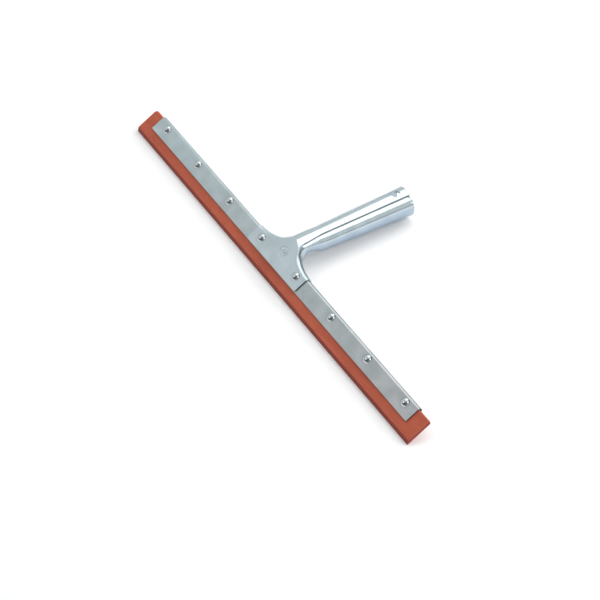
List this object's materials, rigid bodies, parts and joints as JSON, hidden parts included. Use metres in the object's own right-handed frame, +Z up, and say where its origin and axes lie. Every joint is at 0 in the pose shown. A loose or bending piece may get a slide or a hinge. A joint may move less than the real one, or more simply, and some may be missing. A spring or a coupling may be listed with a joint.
{
  "type": "window cleaning squeegee",
  "caption": "Window squeegee with a red rubber blade riveted into a folded steel channel and a tapered steel socket for a wooden handle.",
  "frame": {"origin": "middle of the bottom of the object's box as it lies on a table, front face up, on the blade's edge and the socket's mouth", "axes": "+X along the blade, to the right seen from the blade's side; +Y towards the socket's mouth; +Z up"},
  "size_m": [0.4064, 0.1372, 0.0256],
  "materials": {
    "channel_sheet": "zinc-plated sheet, satin, faintly mottled",
    "socket_sheet": "zinc-plated sheet, satin on the flat head and brighter on the drawn tube",
    "rubber": "matte red natural rubber",
    "rivet": "bright plated, smooth"
  },
  "bodies": {
    "root": {"channel": "channel_sheet", "handle_socket": "socket_sheet", "rubber_blade": "rubber", "rivet_1": "rivet", "rivet_2": "rivet", "rivet_3": "rivet", "rivet_4": "rivet", "rivet_5": "rivet", "rivet_6": "rivet", "rivet_7": "rivet", "rivet_8": "rivet"}
  },
  "joints": []
}
